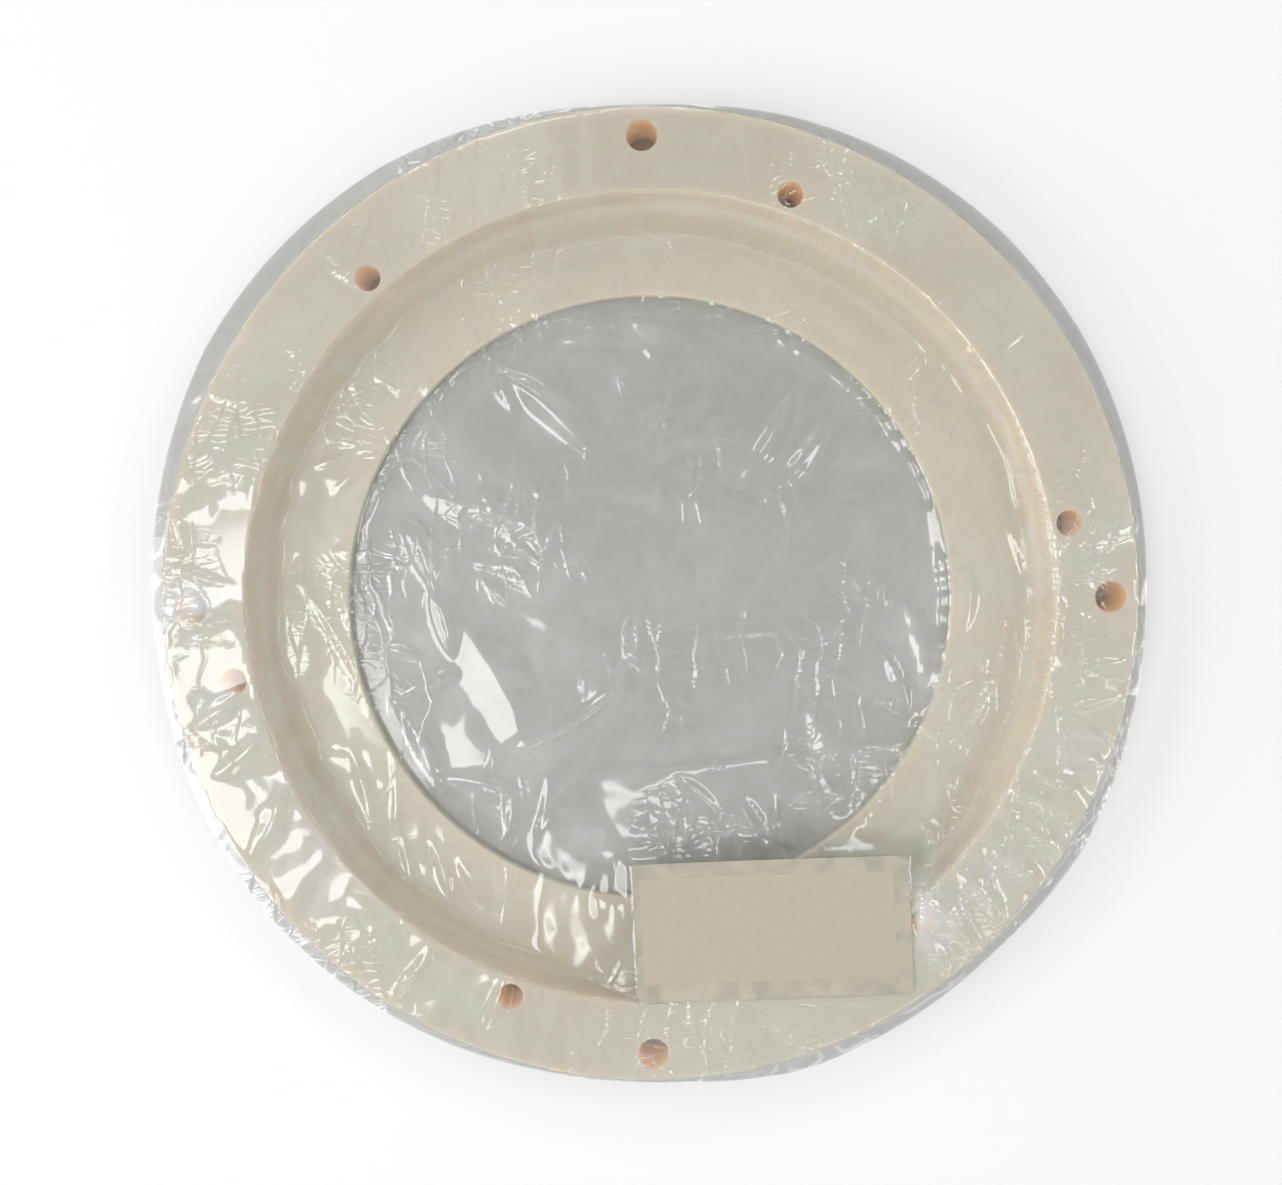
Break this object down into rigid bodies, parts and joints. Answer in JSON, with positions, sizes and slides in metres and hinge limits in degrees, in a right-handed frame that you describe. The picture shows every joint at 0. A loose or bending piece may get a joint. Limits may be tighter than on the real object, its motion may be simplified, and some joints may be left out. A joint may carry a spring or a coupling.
{
  "type": "ring flange",
  "caption": "Flat plastic ring flange with an open bore, a stepped recess and two circles of bolt holes, wrapped in a clear film bag with a blank rectangular label.",
  "frame": {"origin": "on the ring's axis, at the underside of the bag that the part rests on", "axes": "+Z is the ring's axis, up out of the recess towards the front film; +Y passes through one of the large holes, and the label is towards +X and -Y"},
  "size_m": [0.3659, 0.366, 0.0231],
  "materials": {
    "ivory_plastic": "satin, slightly translucent natural plastic",
    "clear_film": "clear thin film, glossy and creased",
    "label_paper": "plain coated label, satin"
  },
  "bodies": {
    "ring_on_back_film": {"flange_ring": "ivory_plastic", "bag_back_film": "clear_film"},
    "front_film": {"bag_front_film": "clear_film", "label": "label_paper"}
  },
  "joints": [
    {"name": "front_film_fold", "type": "hinge", "parent": "ring_on_back_film", "child": "front_film", "pos_m": [0, 0.183, 0.0004], "axis": [-1, 0, 0], "range_deg": [0, 120]}
  ]
}
